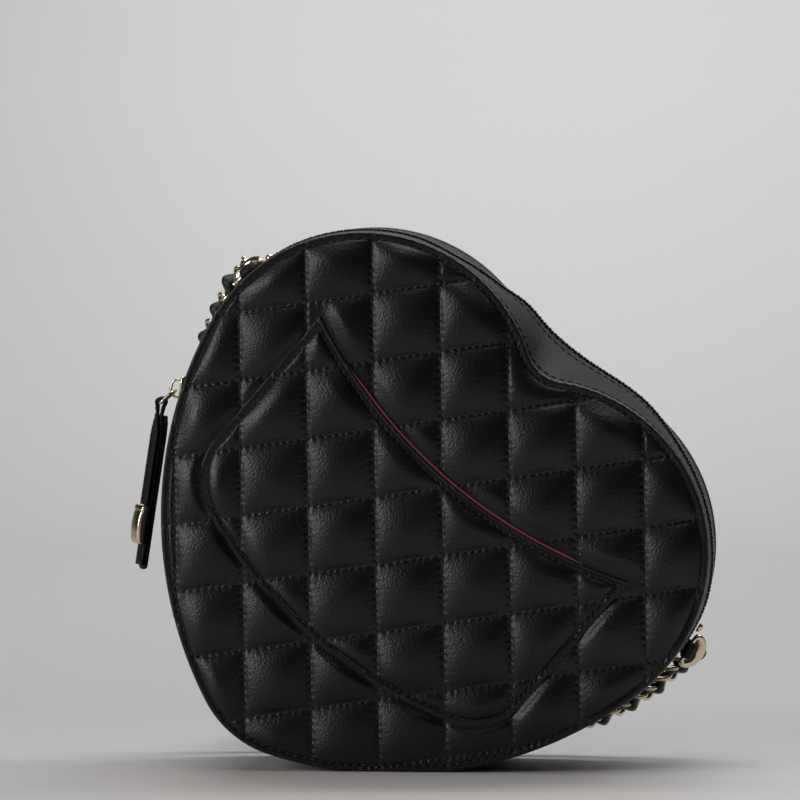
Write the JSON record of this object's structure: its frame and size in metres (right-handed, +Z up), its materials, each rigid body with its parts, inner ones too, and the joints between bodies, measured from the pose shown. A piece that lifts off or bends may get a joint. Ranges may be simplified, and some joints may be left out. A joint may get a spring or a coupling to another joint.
{
  "type": "quilted heart handbag",
  "caption": "Heart-shaped quilted leather bag with a curved zip, a front patch pocket and a woven chain strap coiled behind it.",
  "frame": {"origin": "middle of the flattened stretch of flank that the bag stands on, half way through its depth", "axes": "+X to the bag's right as its pocket side is seen, +Y away from the pocket side, +Z up"},
  "size_m": [0.2045, 0.1645, 0.1878],
  "materials": {
    "leather": "black grained lambskin with a soft sheen",
    "edge_leather": "black smooth leather cord, glossy",
    "lining": "burgundy lining",
    "board": "stiff felt board",
    "tape": "black woven zip tape",
    "teeth": "dark zip teeth",
    "gold": "pale gold plate, polished",
    "chain": "pale gold chain with a black leather lace"
  },
  "bodies": {
    "bag": {"front_panel": "leather", "back_panel": "leather", "pocket_panel": "leather", "pocket_lining": "lining", "front_piping": "edge_leather", "back_piping": "edge_leather", "front_board": "board", "back_board": "board", "front_lining": "lining", "back_lining": "lining", "base_gusset": "leather", "base_gusset_lining": "lining", "zip_strip_front": "leather", "zip_strip_back": "leather", "zip_tape_front": "tape", "zip_tape_back": "tape", "zip_teeth_front": "teeth", "zip_teeth_back": "teeth", "zip_stop_left": "gold", "zip_stop_right": "gold", "strap_tab_left": "leather", "strap_tab_right": "leather", "tab_stud_left": "gold", "tab_stud_right": "gold", "slip_pocket": "lining", "strap_fall_left": "chain", "strap_coil": "chain", "strap_rise_right": "chain"},
    "slider": {"slider_body": "gold", "slider_lower_plate": "gold", "slider_bridge": "gold"},
    "ring": {"pull_ring": "gold"},
    "pull": {"pull_strap": "leather", "pull_tail": "leather", "pull_end_cap": "gold"},
    "left_d_ring": {"d_ring_left": "gold"},
    "right_d_ring": {"d_ring_right": "gold"}
  },
  "joints": [
    {"name": "zip_slide", "type": "hinge", "parent": "bag", "child": "slider", "pos_m": [-0.01128, 0, 0.12266], "axis": [0, 1, 0], "range_deg": [0, 120]},
    {"name": "ring_swing", "type": "hinge", "parent": "slider", "child": "ring", "pos_m": [-0.07916, 0, 0.13073], "axis": [0, 1, 0], "range_deg": [-3, 110]},
    {"name": "pull_swing", "type": "hinge", "parent": "ring", "child": "pull", "pos_m": [-0.08384, 0, 0.12666], "axis": [0, 1, 0], "range_deg": [-2, 60]},
    {"name": "left_d_ring_swing", "type": "hinge", "parent": "bag", "child": "left_d_ring", "pos_m": [-0.05409, 0.01266, 0.17227], "axis": [0.757, 0, 0.6534], "range_deg": [-5, 5]},
    {"name": "right_d_ring_swing", "type": "hinge", "parent": "bag", "child": "right_d_ring", "pos_m": [0.10069, 0.01266, 0.04007], "axis": [0.527, 0, 0.8499], "range_deg": [-5, 5]}
  ]
}
